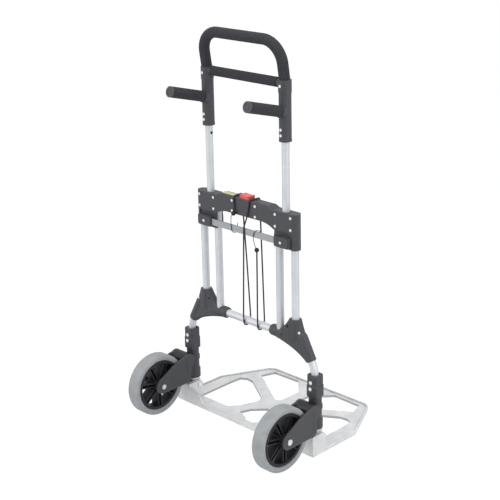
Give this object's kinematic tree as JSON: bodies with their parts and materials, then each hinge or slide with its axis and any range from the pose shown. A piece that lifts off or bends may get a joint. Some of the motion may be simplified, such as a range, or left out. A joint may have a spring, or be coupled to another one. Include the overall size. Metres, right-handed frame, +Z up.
{
  "type": "hand truck",
  "caption": "Folding stair climbing hand truck with a telescoping handle, rearward stair grips, wheels on swivelling forks and a hinged cast toe plate.",
  "frame": {"origin": "centre of the bounding box, on the floor", "axes": "+X to the right seen from behind, +Y forward to the toe plate, +Z up"},
  "size_m": [0.535, 0.493, 1.054],
  "materials": {
    "tube_aluminium": "satin anodised",
    "black_plastic": "fine grained moulding",
    "cast_aluminium": "tumbled casting",
    "bar_aluminium": "brushed",
    "steel": "zinc plated",
    "grip_foam": "closed cell foam",
    "tyre_grey": "non marking grey",
    "hub_black": "moulded",
    "button_red": "moulded",
    "strip_yellow": "film",
    "cord_black": "braided"
  },
  "bodies": {
    "frame": {"outer_tube_left": "tube_aluminium", "outer_tube_right": "tube_aluminium", "inner_tube_left": "tube_aluminium", "inner_tube_right": "tube_aluminium", "cross_tube": "tube_aluminium", "shoulder_left": "black_plastic", "shoulder_right": "black_plastic", "leg_tube_left": "tube_aluminium", "leg_tube_right": "tube_aluminium", "leg_housing_left": "black_plastic", "leg_housing_right": "black_plastic", "leg_screws": "steel", "foot_left": "cast_aluminium", "foot_right": "cast_aluminium", "crosshead_back": "black_plastic", "crosshead_front": "black_plastic", "crosshead_screws": "steel", "flat_bar": "bar_aluminium", "bar_clamp_left": "black_plastic", "bar_clamp_right": "black_plastic", "marker_strip": "strip_yellow", "elastic_cord": "cord_black", "cord_ends": "cord_black", "hook_wires": "steel", "button_spring": "steel"},
    "handle": {"handle_tube_left": "tube_aluminium", "handle_tube_right": "tube_aluminium", "loop_tube": "tube_aluminium", "loop_grip": "grip_foam", "sleeve_left": "black_plastic", "sleeve_right": "black_plastic", "collar_left": "black_plastic", "collar_right": "black_plastic", "crossbar_tube": "tube_aluminium", "crossbar_grip": "grip_foam", "stair_tube_left": "tube_aluminium", "stair_tube_right": "tube_aluminium", "stair_grip_left": "grip_foam", "stair_grip_right": "grip_foam", "grip_cap_left": "black_plastic", "grip_cap_right": "black_plastic", "handle_rivets": "steel"},
    "button": {"release_button": "button_red"},
    "bolt_left": {"lock_bolt_left": "steel"},
    "bolt_right": {"lock_bolt_right": "steel"},
    "toe_plate": {"toe_plate": "cast_aluminium", "hinge_pins": "steel"},
    "fork_left": {"fork_left": "black_plastic", "axle_bolt_left": "steel", "axle_spacers_left": "steel"},
    "wheel_left": {"hub_left": "hub_black", "tyre_left": "tyre_grey", "wheel_bearings_left": "steel"},
    "fork_right": {"fork_right": "black_plastic", "axle_bolt_right": "steel", "axle_spacers_right": "steel"},
    "wheel_right": {"hub_right": "hub_black", "tyre_right": "tyre_grey", "wheel_bearings_right": "steel"}
  },
  "joints": [
    {"name": "handle_slide", "type": "slide", "parent": "frame", "child": "handle", "axis": [0, 0, 1], "range_m": [-0.175, 0]},
    {"name": "button_press", "type": "slide", "parent": "frame", "child": "button", "axis": [0, 0, 1], "range_m": [-0.006, 0], "stiffness_N_per_m": 500, "springref_m": 0.004, "deforming": ["button_spring"]},
    {"name": "bolt_left_slide", "type": "slide", "parent": "frame", "child": "bolt_left", "axis": [-1, 0, 0], "range_m": [-0.006, 0]},
    {"name": "bolt_right_slide", "type": "slide", "parent": "frame", "child": "bolt_right", "axis": [1, 0, 0], "range_m": [-0.006, 0]},
    {"name": "toe_plate_fold", "type": "hinge", "parent": "frame", "child": "toe_plate", "pos_m": [0, -0.0265, 0.044], "axis": [1, 0, 0], "range_deg": [0, 90]},
    {"name": "fork_left_swivel", "type": "hinge", "parent": "frame", "child": "fork_left", "pos_m": [-0.228, -0.0265, 0.1], "axis": [0, 0, 1], "range_deg": [0, 90]},
    {"name": "fork_right_swivel", "type": "hinge", "parent": "frame", "child": "fork_right", "pos_m": [0.228, -0.0265, 0.1], "axis": [0, 0, 1], "range_deg": [-90, 0]},
    {"name": "wheel_left_spin", "type": "hinge", "parent": "fork_left", "child": "wheel_left", "pos_m": [-0.233, -0.1615, 0.085], "axis": [1, 0, 0], "continuous": true},
    {"name": "wheel_right_spin", "type": "hinge", "parent": "fork_right", "child": "wheel_right", "pos_m": [0.233, -0.1615, 0.085], "axis": [1, 0, 0], "continuous": true}
  ],
  "couplings": [
    {"joint": "bolt_left_slide", "follows": "button_press", "ratio": 1},
    {"joint": "bolt_right_slide", "follows": "button_press", "ratio": 1},
    {"joint": "fork_left_swivel", "follows": "toe_plate_fold", "ratio": 1},
    {"joint": "fork_right_swivel", "follows": "toe_plate_fold", "ratio": -1}
  ]
}
